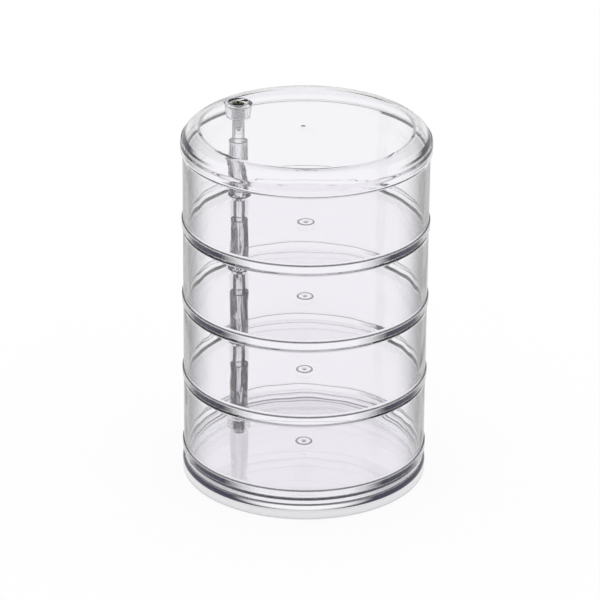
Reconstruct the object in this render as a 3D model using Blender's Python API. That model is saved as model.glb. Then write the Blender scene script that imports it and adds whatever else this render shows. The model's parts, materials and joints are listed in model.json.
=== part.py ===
"""A round swivel organizer tower of clear plastic: a base, four trays and a lid that turn on one post.

Metres, +Z up. The origin is the centre of the base's underside. The trays are counted from the top.
"""

import math

import bmesh
import bpy
from mathutils import Vector

# Clearances. SEAT_GAP lies between fixed pieces, TURN_GAP between pieces that turn past each other.
SEAT_GAP = 0.0003
TURN_GAP = 0.0004
BORE_GAP = 0.0003
CUT_OVERRUN = 0.001
MERGE_DISTANCE = 0.00001

# Facets of a whole turn and of a quarter round.
WALL_FACETS = 48
POST_FACETS = 32
SCREW_FACETS = 20
SHOULDER_STEPS = 6
FILLET_STEPS = 3
EDGE_STEPS = 2

# Base: a shallow dish with a flange, a foot ring and a raised rim that carries the lowest tray.
# Its rim stands a little inside the trays' wall, and its flange stands out from the rim.
BASE_RIM_INSET = 0.0003
BASE_FLANGE_STEP = 0.0008
BASE_FLANGE_HEIGHT = 0.0064
BASE_FLANGE_ROUND = 0.0022
BASE_HEIGHT = 0.0088
BASE_WALL = 0.0027
BASE_FLOOR = 0.002
BASE_FOOT_HEIGHT = 0.0021
BASE_FOOT_WIDTH = 0.004
BASE_FILLET = 0.001
BASE_SOCKET_WALL = 0.0021
BASE_SOCKET_STOP = 0.0008
BASE_GATE_RADIUS = 0.0007
BASE_GATE_HEIGHT = 0.0003

# Tray: a round dish with a bead round its foot and a tall boss on the post.
TRAY_COUNT = 4
TRAY_HEIGHT = 0.0325
TRAY_WALL_RADIUS = 0.0495
TRAY_WALL = 0.002
TRAY_FLOOR = 0.002
TRAY_FILLET = 0.002
TRAY_RIM_ROUND = 0.0004
BEAD_STAND_OUT = 0.0005
BEAD_HEIGHT = 0.0038
BEAD_FOOT_ROUND = 0.0009
BOSS_WALL = 0.0011
BOSS_HEIGHT = 0.0242
BOSS_FILLET = 0.0008
GATE_DIMPLE_RADIUS = 0.00355
GATE_DIMPLE_DEPTH = 0.0005
GATE_NUB_RADIUS = 0.0009
GATE_NUB_HEIGHT = 0.0003

# Lid: a round cover with a soft shoulder and a cup that hangs round the post's end.
LID_HEIGHT = 0.0095
LID_OVERLAP = 0.0006
LID_SHOULDER = 0.0071
LID_WALL = 0.002
LID_BEAD_STAND_OUT = 0.0003
LID_BEAD_HEIGHT = 0.0028
LID_EDGE_ROUND = 0.0005
LID_GATE_RADIUS = 0.0007
LID_GATE_DEPTH = 0.0003
CUP_WALL = 0.0007
CUP_TAPER = 0.00085
CUP_DEPTH = 0.0079
CUP_RECESS_RADIUS = 0.0042
CUP_RECESS_DEPTH = 0.0033

# Post and its fastenings. The insets run from the trays' inner wall to the post's axis.
POST_LEFT_INSET = 0.0205
POST_BACK_INSET = 0.021
POST_RADIUS = 0.0025
POST_PILOT_DEPTH = 0.012
POST_EDGE_ROUND = 0.0003
POST_STAND_OUT = 0.0002
CAP_THICKNESS = 0.0012
SCREW_SHANK_RADIUS = 0.0012
SCREW_LENGTH = 0.0125
SCREW_POINT = 0.0015
SCREW_POINT_RADIUS = 0.0004
SCREW_HEAD_RADIUS = 0.0023
SCREW_HEAD_HEIGHT = 0.0011
SCREW_HEAD_RIM = 0.0004
SCREW_CROSS_LENGTH = 0.0026
SCREW_CROSS_WIDTH = 0.0006
SCREW_CROSS_DEPTH = 0.0006

# Colours, linear red, green and blue.
CLEAR_COLOUR = (0.93, 0.925, 0.95)
BRASS_COLOUR = (0.72, 0.55, 0.22)
STEEL_COLOUR = (0.62, 0.62, 0.64)
CLEAR_ROUGHNESS = 0.04
METAL_ROUGHNESS = 0.25
CLEAR_ALPHA = 0.3

# Radii and places worked out from the sizes above.
TRAY_INNER_RADIUS = TRAY_WALL_RADIUS - TRAY_WALL
BASE_RIM_RADIUS = TRAY_WALL_RADIUS - BASE_RIM_INSET
BASE_FLANGE_RADIUS = BASE_RIM_RADIUS + BASE_FLANGE_STEP
LID_RADIUS = TRAY_WALL_RADIUS + LID_OVERLAP
TURNING_BORE = POST_RADIUS + BORE_GAP
BOSS_RADIUS = TURNING_BORE + BOSS_WALL
BASE_SOCKET_RADIUS = TURNING_BORE + BASE_SOCKET_WALL
CUP_FOOT_RADIUS = CUP_RECESS_RADIUS + CUP_WALL
CUP_TOP_RADIUS = CUP_FOOT_RADIUS + CUP_TAPER
CAP_RADIUS = CUP_RECESS_RADIUS - BORE_GAP
SCREW_HOLE = SCREW_SHANK_RADIUS + SEAT_GAP
PIVOT_X = POST_LEFT_INSET - TRAY_INNER_RADIUS
PIVOT_Y = TRAY_INNER_RADIUS - POST_BACK_INSET

# Heights worked out from the sizes above.
TRAY_PITCH = TRAY_HEIGHT + TURN_GAP
FIRST_TRAY_FOOT = BASE_HEIGHT + TURN_GAP
LID_FOOT = FIRST_TRAY_FOOT + TRAY_COUNT * TRAY_PITCH
LID_TOP = LID_FOOT + LID_HEIGHT
RECESS_FLOOR = LID_TOP - CUP_RECESS_DEPTH
POST_TOP = RECESS_FLOOR + POST_STAND_OUT
POST_FOOT = BASE_FOOT_HEIGHT + BASE_SOCKET_STOP + SEAT_GAP
CAP_FOOT = POST_TOP + SEAT_GAP

QUARTER_TURN = math.pi / 2
HALF_TURN = math.pi
WHOLE_TURN = 2 * math.pi


def clear_scene():
    for thing in list(bpy.data.objects):
        bpy.data.objects.remove(thing, do_unlink=True)


def make_material(name, colour, roughness, metallic=0.0, alpha=1.0):
    """A plain finish, see-through where its alpha is under one."""
    material = bpy.data.materials.new(name)
    material.use_nodes = True
    shader = material.node_tree.nodes["Principled BSDF"]
    shader.inputs["Base Color"].default_value = (*colour, 1.0)
    shader.inputs["Roughness"].default_value = roughness
    shader.inputs["Metallic"].default_value = metallic
    shader.inputs["Alpha"].default_value = alpha
    material.diffuse_color = (*colour, alpha)
    return material


def clear_plastic(name):
    return make_material(name, CLEAR_COLOUR, CLEAR_ROUGHNESS, alpha=CLEAR_ALPHA)


def round_points(centre, radius, start, end, steps):
    """Points of a round corner in the (radius, height) plane, from one angle to the other."""
    points = []
    for step in range(steps + 1):
        angle = start + (end - start) * step / steps
        points.append((centre[0] + radius * math.cos(angle), centre[1] + radius * math.sin(angle)))
    return points


def turned_mesh(name, profile, facets, closed=False):
    """The mesh that a (radius, height) outline makes when it's turned about Z."""
    shape = bmesh.new()
    corners = [shape.verts.new((radius, 0, height)) for radius, height in profile]
    edges = [shape.edges.new(pair) for pair in zip(corners, corners[1:])]
    if closed:
        edges.append(shape.edges.new((corners[-1], corners[0])))
    bmesh.ops.spin(
        shape,
        geom=corners + edges,
        cent=(0, 0, 0),
        axis=(0, 0, 1),
        angle=WHOLE_TURN,
        steps=facets,
        use_merge=True,
    )
    bmesh.ops.remove_doubles(shape, verts=shape.verts, dist=MERGE_DISTANCE)
    bmesh.ops.recalc_face_normals(shape, faces=shape.faces)
    mesh = bpy.data.meshes.new(name)
    shape.to_mesh(mesh)
    shape.free()
    return mesh


def box_mesh(name, size_x, size_y, size_z):
    shape = bmesh.new()
    bmesh.ops.create_cube(shape, size=1)
    bmesh.ops.scale(shape, vec=(size_x, size_y, size_z), verts=shape.verts)
    mesh = bpy.data.meshes.new(name)
    shape.to_mesh(mesh)
    shape.free()
    return mesh


def place(name, mesh, location, material=None):
    thing = bpy.data.objects.new(name, mesh)
    thing.location = location
    bpy.context.scene.collection.objects.link(thing)
    if material:
        mesh.materials.clear()
        mesh.materials.append(material)
    return thing


def helper(name, mesh, location):
    """A solid that only shapes another one."""
    thing = place(name, mesh, location)
    thing.hide_render = True
    thing.display_type = "WIRE"
    return thing


def combine(thing, other, operation):
    change = thing.modifiers.new(other.name, "BOOLEAN")
    change.object = other
    change.operation = operation
    change.solver = "EXACT"


def finished_mesh(thing, name):
    """The thing's mesh with its modifiers applied, shaded smooth between its sharp edges."""
    bpy.context.view_layer.update()
    graph = bpy.context.evaluated_depsgraph_get()
    mesh = bpy.data.meshes.new_from_object(thing.evaluated_get(graph))
    mesh.name = name
    mesh.shade_smooth()
    mesh.set_sharp_from_angle(angle=QUARTER_TURN / 3)
    return mesh


def settle(thing, cutters, material):
    """Applies the thing's modifiers, drops the solids that shaped it and gives it its finish."""
    mesh = finished_mesh(thing, thing.name)
    thing.modifiers.clear()
    thing.data = mesh
    mesh.materials.clear()
    mesh.materials.append(material)
    for cutter in cutters:
        bpy.data.objects.remove(cutter, do_unlink=True)
    return thing


def post_cylinder(name, radius, foot, top, location, facets=POST_FACETS):
    profile = [(0, top), (radius, top), (radius, foot), (0, foot)]
    return helper(name, turned_mesh(name, profile, facets), location)


def tray_profile():
    """Half the tray's section, from its centre's underside round the wall to its floor."""
    bead_radius = TRAY_WALL_RADIUS + BEAD_STAND_OUT
    profile = [
        (0, GATE_DIMPLE_DEPTH - GATE_NUB_HEIGHT),
        (GATE_NUB_RADIUS, GATE_DIMPLE_DEPTH - GATE_NUB_HEIGHT),
        (GATE_NUB_RADIUS, GATE_DIMPLE_DEPTH),
        (GATE_DIMPLE_RADIUS, GATE_DIMPLE_DEPTH),
        (GATE_DIMPLE_RADIUS, 0),
    ]
    foot_centre = (bead_radius - BEAD_FOOT_ROUND, BEAD_FOOT_ROUND)
    profile += round_points(foot_centre, BEAD_FOOT_ROUND, -QUARTER_TURN, 0, EDGE_STEPS)
    bead_centre = (TRAY_WALL_RADIUS, BEAD_HEIGHT - BEAD_STAND_OUT)
    profile += round_points(bead_centre, BEAD_STAND_OUT, 0, QUARTER_TURN, EDGE_STEPS)
    rim_outer = (TRAY_WALL_RADIUS - TRAY_RIM_ROUND, TRAY_HEIGHT - TRAY_RIM_ROUND)
    profile += round_points(rim_outer, TRAY_RIM_ROUND, 0, QUARTER_TURN, EDGE_STEPS)
    rim_inner = (TRAY_INNER_RADIUS + TRAY_RIM_ROUND, TRAY_HEIGHT - TRAY_RIM_ROUND)
    profile += round_points(rim_inner, TRAY_RIM_ROUND, QUARTER_TURN, HALF_TURN, EDGE_STEPS)
    floor_centre = (TRAY_INNER_RADIUS - TRAY_FILLET, TRAY_FLOOR + TRAY_FILLET)
    profile += round_points(floor_centre, TRAY_FILLET, 0, -QUARTER_TURN, FILLET_STEPS)
    profile.append((0, TRAY_FLOOR))
    return profile


def boss_profile():
    """The boss, from inside the tray's floor to its top, with a fillet where it meets the floor."""
    fillet_centre = (BOSS_RADIUS + BOSS_FILLET, TRAY_FLOOR + BOSS_FILLET)
    foot = (BOSS_RADIUS + BOSS_FILLET, TRAY_FLOOR / 2)
    flare = round_points(fillet_centre, BOSS_FILLET, -QUARTER_TURN, -HALF_TURN, EDGE_STEPS)
    edge_centre = (BOSS_RADIUS - POST_EDGE_ROUND, BOSS_HEIGHT - POST_EDGE_ROUND)
    edge = round_points(edge_centre, POST_EDGE_ROUND, 0, QUARTER_TURN, EDGE_STEPS)
    return [(0, TRAY_FLOOR / 2), foot] + flare + edge + [(0, BOSS_HEIGHT)]


def make_trays():
    """One tray's mesh, with its origin on the post's axis, shared by the four trays."""
    to_centre = (-PIVOT_X, -PIVOT_Y, 0)
    pattern = helper("tray_pattern", turned_mesh("tray_dish", tray_profile(), WALL_FACETS), to_centre)
    boss = helper("boss", turned_mesh("boss", boss_profile(), POST_FACETS), (0, 0, 0))
    bore = post_cylinder("bore", TURNING_BORE, -CUT_OVERRUN, BOSS_HEIGHT + CUT_OVERRUN, (0, 0, 0))
    combine(pattern, boss, "UNION")
    combine(pattern, bore, "DIFFERENCE")
    mesh = finished_mesh(pattern, "tray")
    for point in mesh.vertices:
        point.co.x -= PIVOT_X
        point.co.y -= PIVOT_Y
    for thing in (pattern, boss, bore):
        bpy.data.objects.remove(thing, do_unlink=True)
    for number in range(1, TRAY_COUNT + 1):
        foot = FIRST_TRAY_FOOT + (TRAY_COUNT - number) * TRAY_PITCH
        own_mesh = mesh.copy()
        name = f"tray_{number}"
        place(name, own_mesh, (PIVOT_X, PIVOT_Y, foot), clear_plastic(name))


def base_profile():
    """Half the base's section, from its centre's underside round the flange and rim to its floor."""
    floor_top = BASE_FOOT_HEIGHT + BASE_FLOOR
    foot_inner = BASE_FLANGE_RADIUS - BASE_FOOT_WIDTH
    inner_radius = BASE_RIM_RADIUS - BASE_WALL
    profile = [(0, BASE_FOOT_HEIGHT), (foot_inner, BASE_FOOT_HEIGHT), (foot_inner, 0)]
    profile.append((BASE_FLANGE_RADIUS, 0))
    flange_centre = (BASE_FLANGE_RADIUS - BASE_FLANGE_ROUND, BASE_FLANGE_HEIGHT - BASE_FLANGE_ROUND)
    shoulder_rise = math.acos((BASE_RIM_RADIUS - flange_centre[0]) / BASE_FLANGE_ROUND)
    profile += round_points(flange_centre, BASE_FLANGE_ROUND, 0, shoulder_rise, FILLET_STEPS)
    rim_outer = (BASE_RIM_RADIUS - TRAY_RIM_ROUND, BASE_HEIGHT - TRAY_RIM_ROUND)
    profile += round_points(rim_outer, TRAY_RIM_ROUND, 0, QUARTER_TURN, EDGE_STEPS)
    rim_inner = (inner_radius + TRAY_RIM_ROUND, BASE_HEIGHT - TRAY_RIM_ROUND)
    profile += round_points(rim_inner, TRAY_RIM_ROUND, QUARTER_TURN, HALF_TURN, EDGE_STEPS)
    floor_centre = (inner_radius - BASE_FILLET, floor_top + BASE_FILLET)
    profile += round_points(floor_centre, BASE_FILLET, 0, -QUARTER_TURN, EDGE_STEPS)
    profile += [
        (BASE_GATE_RADIUS, floor_top),
        (BASE_GATE_RADIUS, floor_top + BASE_GATE_HEIGHT),
        (0, floor_top + BASE_GATE_HEIGHT),
    ]
    return profile


def make_base():
    base = place("base", turned_mesh("base", base_profile(), WALL_FACETS), (0, 0, 0))
    pivot = (PIVOT_X, PIVOT_Y, 0)
    socket = post_cylinder(
        "socket", BASE_SOCKET_RADIUS, BASE_FOOT_HEIGHT + BASE_FLOOR / 2, BASE_HEIGHT, pivot
    )
    seat = post_cylinder(
        "seat", TURNING_BORE, POST_FOOT - SEAT_GAP, BASE_HEIGHT + CUT_OVERRUN, pivot
    )
    hole = post_cylinder(
        "hole", SCREW_HOLE, BASE_FOOT_HEIGHT - CUT_OVERRUN, BASE_HEIGHT, pivot, SCREW_FACETS
    )
    combine(base, socket, "UNION")
    combine(base, seat, "DIFFERENCE")
    combine(base, hole, "DIFFERENCE")
    settle(base, (socket, seat, hole), clear_plastic("base"))


def lid_profile():
    """Half the lid's section, from the gate mark on its top over the shoulder to its underside."""
    bead_radius = LID_RADIUS + LID_BEAD_STAND_OUT
    inner_radius = LID_RADIUS - LID_WALL
    inner_shoulder = LID_SHOULDER - LID_WALL
    shoulder_centre = (LID_RADIUS - LID_SHOULDER, LID_TOP - LID_SHOULDER)
    bead_centre = (LID_RADIUS, LID_FOOT + LID_BEAD_HEIGHT - LID_BEAD_STAND_OUT)
    foot_centre = (bead_radius - LID_EDGE_ROUND, LID_FOOT + LID_EDGE_ROUND)
    profile = [
        (0, LID_TOP - LID_GATE_DEPTH),
        (LID_GATE_RADIUS, LID_TOP - LID_GATE_DEPTH),
        (LID_GATE_RADIUS, LID_TOP),
    ]
    profile += round_points(shoulder_centre, LID_SHOULDER, QUARTER_TURN, 0, SHOULDER_STEPS)
    profile += round_points(bead_centre, LID_BEAD_STAND_OUT, QUARTER_TURN, 0, EDGE_STEPS)
    profile += round_points(foot_centre, LID_EDGE_ROUND, 0, -QUARTER_TURN, EDGE_STEPS)
    profile.append((inner_radius, LID_FOOT))
    profile += round_points(shoulder_centre, inner_shoulder, 0, QUARTER_TURN, SHOULDER_STEPS)
    profile.append((0, LID_TOP - LID_WALL))
    return profile


def cup_profile():
    """The cup that hangs under the lid: wide where it leaves the lid, narrower at its foot."""
    cup_foot = LID_TOP - CUP_DEPTH
    inside_lid = LID_TOP - LID_WALL / 2
    edge_centre = (CUP_FOOT_RADIUS - POST_EDGE_ROUND, cup_foot + POST_EDGE_ROUND)
    edge = round_points(edge_centre, POST_EDGE_ROUND, 0, -QUARTER_TURN, EDGE_STEPS)
    return [(0, inside_lid), (CUP_TOP_RADIUS, inside_lid)] + edge + [(0, cup_foot)]


def make_lid():
    to_centre = (-PIVOT_X, -PIVOT_Y, 0)
    here = (0, 0, 0)
    lid = place("lid", turned_mesh("lid", lid_profile(), WALL_FACETS), to_centre)
    cup = helper("cup", turned_mesh("cup", cup_profile(), POST_FACETS), here)
    recess = post_cylinder("recess", CUP_RECESS_RADIUS, RECESS_FLOOR, LID_TOP + CUT_OVERRUN, here)
    bore = post_cylinder("bore", TURNING_BORE, LID_FOOT, LID_TOP, here)
    combine(lid, cup, "UNION")
    combine(lid, recess, "DIFFERENCE")
    combine(lid, bore, "DIFFERENCE")
    settle(lid, (cup, recess, bore), clear_plastic("lid"))
    hang_on_post(lid, LID_FOOT)


def hang_on_post(thing, height):
    """Moves the origin of a thing built round the post's axis to that axis, at a height."""
    to_tower = Vector(thing.location)
    for point in thing.data.vertices:
        point.co += to_tower
        point.co.z -= height
    thing.location = (PIVOT_X, PIVOT_Y, height)


def make_post():
    """The clear post, with a pilot hole for a screw in each end."""
    edge = round_points(
        (POST_RADIUS - POST_EDGE_ROUND, POST_TOP - POST_EDGE_ROUND),
        POST_EDGE_ROUND, QUARTER_TURN, 0, EDGE_STEPS,
    )
    profile = [
        (0, POST_TOP - POST_PILOT_DEPTH),
        (SCREW_HOLE, POST_TOP - POST_PILOT_DEPTH),
        (SCREW_HOLE, POST_TOP),
    ]
    profile += edge
    profile += [
        (POST_RADIUS, POST_FOOT),
        (SCREW_HOLE, POST_FOOT),
        (SCREW_HOLE, POST_FOOT + POST_PILOT_DEPTH),
        (0, POST_FOOT + POST_PILOT_DEPTH),
    ]
    mesh = turned_mesh("pivot_post", profile, POST_FACETS)
    post = place("pivot_post", mesh, (PIVOT_X, PIVOT_Y, 0))
    settle(post, (), clear_plastic("pivot_post"))


def make_cap():
    """The ring under the top screw's head, which holds the lid on the post."""
    cap_top = CAP_FOOT + CAP_THICKNESS
    edge_centre = (CAP_RADIUS - POST_EDGE_ROUND, cap_top - POST_EDGE_ROUND)
    profile = [(SCREW_HOLE, cap_top)]
    profile += round_points(edge_centre, POST_EDGE_ROUND, QUARTER_TURN, 0, EDGE_STEPS)
    profile += [(CAP_RADIUS, CAP_FOOT), (SCREW_HOLE, CAP_FOOT)]
    mesh = turned_mesh("retaining_cap", profile, POST_FACETS, closed=True)
    cap = place("retaining_cap", mesh, (PIVOT_X, PIVOT_Y, 0))
    settle(cap, (), clear_plastic("retaining_cap"))


def screw_profile():
    """Half a screw, head up, with the underside of its head at height zero."""
    dome_rise = SCREW_HEAD_HEIGHT - SCREW_HEAD_RIM
    profile = []
    for step in range(FILLET_STEPS + 1):
        angle = QUARTER_TURN * step / FILLET_STEPS
        profile.append((SCREW_HEAD_RADIUS * math.sin(angle), SCREW_HEAD_RIM + dome_rise * math.cos(angle)))
    profile += [
        (SCREW_HEAD_RADIUS, 0),
        (SCREW_SHANK_RADIUS, 0),
        (SCREW_SHANK_RADIUS, SCREW_POINT - SCREW_LENGTH),
        (SCREW_POINT_RADIUS, -SCREW_LENGTH),
        (0, -SCREW_LENGTH),
    ]
    return profile


def make_screw(name, head_seat, turned_over, material):
    """A domed screw with a cross recess, its head's underside at a height."""
    here = (0, 0, 0)
    screw = place(name, turned_mesh(name, screw_profile(), SCREW_FACETS), here)
    depth = SCREW_CROSS_DEPTH + CUT_OVERRUN
    middle = (0, 0, SCREW_HEAD_HEIGHT - SCREW_CROSS_DEPTH + depth / 2)
    slots = []
    for length, width in (
        (SCREW_CROSS_LENGTH, SCREW_CROSS_WIDTH),
        (SCREW_CROSS_WIDTH, SCREW_CROSS_LENGTH),
    ):
        slot = helper("slot", box_mesh("slot", length, width, depth), middle)
        combine(screw, slot, "DIFFERENCE")
        slots.append(slot)
    settle(screw, slots, material)
    screw.location = (PIVOT_X, PIVOT_Y, head_seat)
    if turned_over:
        screw.rotation_euler = (HALF_TURN, 0, 0)


def main():
    clear_scene()
    make_base()
    make_post()
    make_trays()
    make_lid()
    make_cap()
    brass = make_material("top_screw", BRASS_COLOUR, METAL_ROUGHNESS, metallic=1.0)
    steel = make_material("foot_screw", STEEL_COLOUR, METAL_ROUGHNESS, metallic=1.0)
    make_screw("top_screw", CAP_FOOT + CAP_THICKNESS + SEAT_GAP, False, brass)
    make_screw("foot_screw", BASE_FOOT_HEIGHT - SEAT_GAP, True, steel)


main()
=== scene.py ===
"""The finish of a round swivel organizer tower: clear moulded trays, lid and base on one clear post.

Metres, +Z up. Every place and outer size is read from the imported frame; walls and edges are named below.
"""

import json
import math

import bmesh
import bpy
import numpy as np
from mathutils import Matrix, Vector
from mathutils.geometry import tessellate_polygon


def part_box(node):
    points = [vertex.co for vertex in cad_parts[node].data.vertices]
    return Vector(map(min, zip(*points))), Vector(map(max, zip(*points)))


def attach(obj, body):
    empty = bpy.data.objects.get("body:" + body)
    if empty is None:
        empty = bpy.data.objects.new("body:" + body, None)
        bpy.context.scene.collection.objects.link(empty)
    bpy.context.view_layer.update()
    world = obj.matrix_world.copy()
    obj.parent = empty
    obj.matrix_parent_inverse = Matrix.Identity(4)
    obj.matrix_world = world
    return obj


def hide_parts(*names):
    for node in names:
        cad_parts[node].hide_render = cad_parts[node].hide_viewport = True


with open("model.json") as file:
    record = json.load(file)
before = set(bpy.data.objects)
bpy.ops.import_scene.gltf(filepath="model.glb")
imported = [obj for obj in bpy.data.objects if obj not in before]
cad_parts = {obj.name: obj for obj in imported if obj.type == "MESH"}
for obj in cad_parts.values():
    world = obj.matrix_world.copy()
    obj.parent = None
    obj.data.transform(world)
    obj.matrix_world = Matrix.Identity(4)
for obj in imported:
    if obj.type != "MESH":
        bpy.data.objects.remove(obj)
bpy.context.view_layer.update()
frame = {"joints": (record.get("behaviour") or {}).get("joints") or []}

QUARTER = math.pi / 2
HALF = math.pi
WHOLE = 2 * math.pi

TOWER_AXIS = (0.0, 0.0)
POST_AXIS = tuple(frame["joints"][0]["pos_m"][:2])

# Trays: walls, edges and small forms.
WALL = 0.002
EDGE_ROUND = 0.00015
RIM_ROUND = 0.0005
BEAD_STAND_OUT = 0.0005
BEAD_HEIGHT = 0.0038
BEAD_ROUND = 0.0009
FLOOR_FILLET = 0.002
BOSS_RADIUS = 0.0039
BOSS_HEIGHT = 0.0242
BOSS_FILLET = 0.0008
BORE_RADIUS = 0.0028
DIMPLE_RADIUS = 0.00355
DIMPLE_DEPTH = 0.0014
NUB_RADIUS = 0.0009
NUB_HEIGHT = 0.0003
GATE_RADIUS = 0.0007
GATE_DEPTH = 0.0003

# Lid
LID_GATE_SHIFT = -0.0014
LID_BEAD_STAND_OUT = 0.0003
LID_BEAD_HEIGHT = 0.0028
LID_BEAD_BLEND = 0.002
LID_SHOULDER = 0.0071
LID_UNDER_ROUND = 0.0058
CUP_TOP_RADIUS = 0.00575
CUP_FOOT_RADIUS = 0.0049
CUP_DEPTH = 0.0079
RECESS_RADIUS = 0.0042
RECESS_DEPTH = 0.0033

# Base
FLANGE_HEIGHT = 0.0064
FLANGE_ROUND = 0.0022
BASE_RIM_RADIUS = 0.0492
BASE_RIM_WALL = 0.0027
BASE_FILLET = 0.001
FOOT_HEIGHT = 0.0021
FOOT_WIDTH = 0.004
SOCKET_RADIUS = 0.0049
SOCKET_STOP = 0.0008

# Post
SCREW_HOLE = 0.0015
PILOT_DEPTH = 0.012
SEAM_RISE = 0.0001
SEAM_SPREAD = math.radians(4.5)

# Screws
THREAD_CORE = 0.00105
THREAD_RISE = 0.0003
THREAD_PITCH = 0.0009
HEAD_HEIGHT = 0.0011
HEAD_RIM = 0.0004
CROSS_LENGTH = 0.0026
CROSS_WIDTH = 0.0006
CROSS_DEPTH = 0.0006
CROSS_SOFT = 0.00012
POINT_LENGTH = 0.0015
POINT_RADIUS = 0.0003

# How finely the surfaces are cut. MARGIN is how far from a round the next ring of points lies.
WALL_FACETS = 256
POST_FACETS = 96
ROUND_STEP = math.radians(6)
ROUND_LEAST_STEPS = 3
MARGIN = 0.0002
HEAD_RINGS = 48
BLEND_RINGS = 9
THREAD_RINGS = 10
SAME_POINT = 1e-7
SHARP_ANGLE = math.radians(35)

# Finishes of a clear piece, by their place in its list of materials.
WALL_FINISH = 0
PLATE_FINISH = 1  # doesn't bend light
ROD_FINISH = 2  # the boss, the post, the lid's shoulder or the base's flange
EDGE_FINISH = 3  # the lower round of a tray's bead

# Tones, all painted shade: a dark line, edge shade and a side streak, each 0 to 1. Edge shade above 1 is full
# sooner.
# A round's bands are (start angle, end angle, tone), and the gaps between them blend their tones.
NO_EDGE_SHADE = dict(edge_shade=0)
UNBENT = dict(finish=PLATE_FINISH)
UNBENT_CLEAR = dict(edge_shade=0, finish=PLATE_FINISH)

BEAD_FOOT_BANDS = (
    (-QUARTER, -1.25, UNBENT_CLEAR),
    (-1.15, -0.35, dict(finish=EDGE_FINISH)),
    (-0.2, 0, dict(edge_shade=0, shade_streak=0.3, finish=PLATE_FINISH)),
)
# Painted shade: the bead's face carries a dark streak on its sides, strongest in its middle.
BEAD_STREAK_LOW = 0.001
BEAD_STREAK_HIGH = 0.0028
BEAD_STREAK_TONE = dict(edge_shade=0, shade_streak=1)
BEAD_FADE_TONE = dict(edge_shade=0, shade_streak=0.6)
BEAD_TOP_TONE = dict(edge_shade=0, shade_streak=0.5)
# Painted shade: a dark line on the bead's step and a faint one on the rim.
BEAD_STEP_BANDS = ((0.3, QUARTER, dict(dark=0.75, edge_shade=0)),)
RIM_TONE = dict(dark=0.15, edge_shade=0)
RIM_FADE = 4 * RIM_ROUND
BORE_TONE = dict(edge_shade=0.3)
BOSS_LIP_TONE = dict(edge_shade=0.6)
BOSS_TONE = dict(edge_shade=0.68)
BOSS_CLEARING = 0.6
BOSS_CLEARING_HEIGHT = 0.5
BOSS_CLEARING_WIDTH = 0.5
# Painted shade on the gate dimple under each tray: a dark nub, its edge and a ring.
NUB_TONE = dict(dark=0.9)
NUB_EDGE_TONE = dict(dark=0.4)
NUB_FOOT_TONE = dict(dark=0.2)
DIMPLE_LINE_TONE = dict(dark=0.8)
DIMPLE_LINE_FROM = DIMPLE_RADIUS - 6 * EDGE_ROUND
DIMPLE_LINE_FULL = DIMPLE_RADIUS - 5 * EDGE_ROUND

# The lid's shoulder, from its flat top outward: clear, a thin painted shade line, a crescent of painted shade
# dark at the sides, clear.
SHOULDER_BANDS = (
    (QUARTER, QUARTER - 0.15, NO_EDGE_SHADE),
    (QUARTER - 0.25, QUARTER - 0.38, dict(dark=0.13, edge_shade=0)),
    (QUARTER - 0.5, QUARTER - 0.7, dict(edge_shade=0, shade_streak=0.1)),
    (QUARTER - 0.8, 0.72, {}),
    (0.66, 0.5, dict(edge_shade=9)),
    (0.49, 0.4, dict(finish=ROD_FINISH)),
    (0.33, 0.26, dict(edge_shade=0, finish=ROD_FINISH)),
    (0.2, 0, dict(edge_shade=0.5)),
)
LID_FOOT_BANDS = (
    (0, -0.2, NO_EDGE_SHADE),
    (-0.3, -1.15, dict(edge_shade=6)),
    (-1.25, -QUARTER, UNBENT_CLEAR),
)
LID_UNDER_BANDS = (
    (0, 0.6, dict(edge_shade=0.3)),
    (0.6, 1.4, NO_EDGE_SHADE),
    (1.45, QUARTER, UNBENT_CLEAR),
)

# The flange's bands are shares of the angle at which its round meets the rim.
FLANGE_BANDS = (
    (0, 0.95, dict(edge_shade=1.5, finish=ROD_FINISH)),
    (0.97, 1, dict(dark=0.8)),
)
# Painted shade: dark lines at the flange's foot and side, in the groove and on the base's rim.
FLANGE_FOOT_TONE = dict(dark=0.45, edge_shade=0.3)
FLANGE_SIDE_TONE = dict(dark=0.2, edge_shade=0.3)
FLANGE_FOOT_FADE = 4 * MARGIN
GROOVE_TONE = dict(dark=0.85)
BASE_RIM_SIDE_TONE = dict(edge_shade=0, shade_streak=0.4)
BASE_RIM_TONE = dict(dark=0.9)

# The post's painted edge shade grows downward between two heights on the topmost boss, given as shares of the
# boss.
POST_TOP_TONE = dict(edge_shade=0.3, finish=ROD_FINISH)
POST_LID_TONE = dict(edge_shade=0.4, finish=ROD_FINISH)
POST_TONE = dict(edge_shade=1, finish=ROD_FINISH)
POST_FADE_FROM = 0.7
POST_FADE_TO = 0.35

# A screw head's second colour, a painted reflection that is near black on brass, begins at a share of its
# radius, and is full another share further out.
HEAD_REFLECTION_FROM = 0.5
HEAD_REFLECTION_FADE = 0.12

# Colours of the clear plastic, and DARK, the colour that its painted shade darkens it towards.
CLEAR = (0.965, 0.958, 0.976)
PLATE = (0.96, 0.952, 0.973)
BASE_PLATE = (0.92, 0.912, 0.938)
DARK = (0.001, 0.001, 0.004)

# Painted edge shade of each finish: how edge-on it's seen, 0 to 1, where the painted shade begins and where
# it's full.
WALL_EDGE_SHADE = (0.4, 1.1)
PLATE_EDGE_SHADE = (0.9, 1.0)
BOSS_EDGE_SHADE = (0.1, 0.35)
ROD_EDGE_SHADE = (0.1, 0.3)
EDGE_FINISH_EDGE_SHADE = (0.35, 0.6)
SHOULDER_EDGE_SHADE = (0.26, 0.5)
FLANGE_EDGE_SHADE = (0.02, 0.24)

# Strength of the painted shade streaks on the sides, by how edge-on they're seen.
SHADE_STREAK = (
    (0.18, 0.0), (0.24, 0.3), (0.3, 0.75), (0.34, 1.0), (0.4, 1.0), (0.58, 1.0), (0.66, 0.7), (0.72, 0.5),
)

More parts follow.
